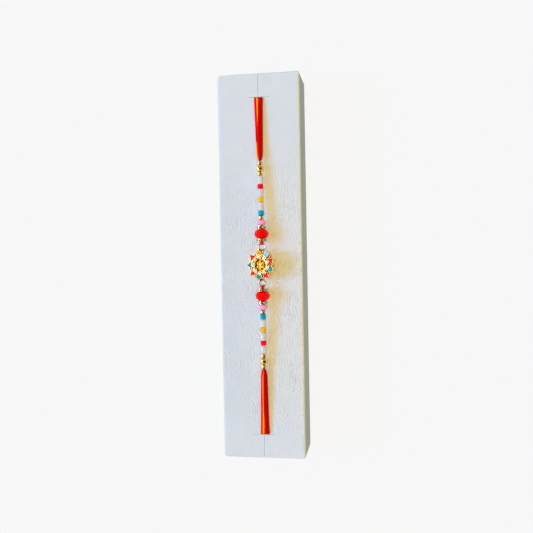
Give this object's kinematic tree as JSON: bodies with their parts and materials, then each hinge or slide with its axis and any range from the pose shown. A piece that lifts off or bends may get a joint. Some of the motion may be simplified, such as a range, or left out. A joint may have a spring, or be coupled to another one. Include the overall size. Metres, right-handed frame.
{
  "type": "rakhi thread bracelet on display box",
  "caption": "Beaded thread bracelet with an enamelled gold flower, laced through the slits of a long white card display box.",
  "frame": {"origin": "middle of the display box's rim, on the surface that the box rests on", "axes": "+Z out of the panel that carries the bracelet, +Y along the box towards the picture's top, +X towards the picture's right"},
  "size_m": [0.0442, 0.2054, 0.0334],
  "materials": {
    "embossed_paper": "white paper with an embossed leather grain, matt",
    "red_yellow_thread": "red thread bundle with a yellow stripe, soft silky sheen",
    "red_thread": "red twisted thread",
    "gold_metal": "bright yellow gold plate, polished",
    "red_glass": "cut glass, deep red, nearly opaque, glossy",
    "pink_glass": "cut glass, milky pink, glossy",
    "crystal": "clear cut rhinestone with a foiled back",
    "pearl_white": "pearly white, glossy",
    "blue_plastic": "opaque blue, satin gloss",
    "yellow_plastic": "opaque yellow, satin gloss",
    "rose_plastic": "opaque rose red, satin gloss",
    "orange_enamel": "glossy orange enamel",
    "light_blue_enamel": "glossy light blue enamel",
    "pink_enamel": "glossy pink enamel",
    "turquoise_enamel": "glossy turquoise enamel"
  },
  "bodies": {
    "root": {"bead_thread_lower": "red_thread", "bead_thread_upper": "red_thread", "blue_bead_lower": "blue_plastic", "blue_bead_upper": "blue_plastic", "centre_stone": "crystal", "display_box": "embossed_paper", "flower_setting": "gold_metal", "gold_ball_lower": "gold_metal", "gold_ball_upper": "gold_metal", "gold_bead_inner_lower": "gold_metal", "gold_bead_inner_upper": "gold_metal", "gold_bead_middle_lower": "gold_metal", "gold_bead_middle_upper": "gold_metal", "gold_bead_outer_lower": "gold_metal", "gold_bead_outer_upper": "gold_metal", "petal_enamel_1": "orange_enamel", "petal_enamel_2": "pink_enamel", "petal_enamel_3": "turquoise_enamel", "petal_enamel_4": "pink_enamel", "petal_enamel_5": "turquoise_enamel", "petal_enamel_6": "pink_enamel", "petal_enamel_7": "turquoise_enamel", "petal_enamel_8": "pink_enamel", "petal_enamel_9": "light_blue_enamel", "petal_stone_1": "crystal", "petal_stone_2": "crystal", "petal_stone_3": "crystal", "petal_stone_4": "crystal", "petal_stone_5": "crystal", "petal_stone_6": "crystal", "petal_stone_7": "crystal", "petal_stone_8": "crystal", "petal_stone_9": "crystal", "pink_bead_lower": "pink_glass", "pink_bead_upper": "pink_glass", "red_bead_lower": "red_glass", "red_bead_upper": "red_glass", "rondelle_inner_crystals_lower": "crystal", "rondelle_inner_crystals_upper": "crystal", "rondelle_inner_lower": "gold_metal", "rondelle_inner_upper": "gold_metal", "rondelle_outer_crystals_lower": "crystal", "rondelle_outer_crystals_upper": "crystal", "rondelle_outer_lower": "gold_metal", "rondelle_outer_upper": "gold_metal", "rose_bead_lower": "rose_plastic", "rose_bead_upper": "rose_plastic", "thread_bundle_lower": "red_yellow_thread", "thread_bundle_upper": "red_yellow_thread", "tie_knot": "red_yellow_thread", "white_tube_inner_lower": "pearl_white", "white_tube_inner_upper": "pearl_white", "white_tube_middle_lower": "pearl_white", "white_tube_middle_upper": "pearl_white", "white_tube_outer_lower": "pearl_white", "white_tube_outer_upper": "pearl_white", "yellow_bead_lower": "yellow_plastic", "yellow_bead_upper": "yellow_plastic"}
  },
  "joints": []
}
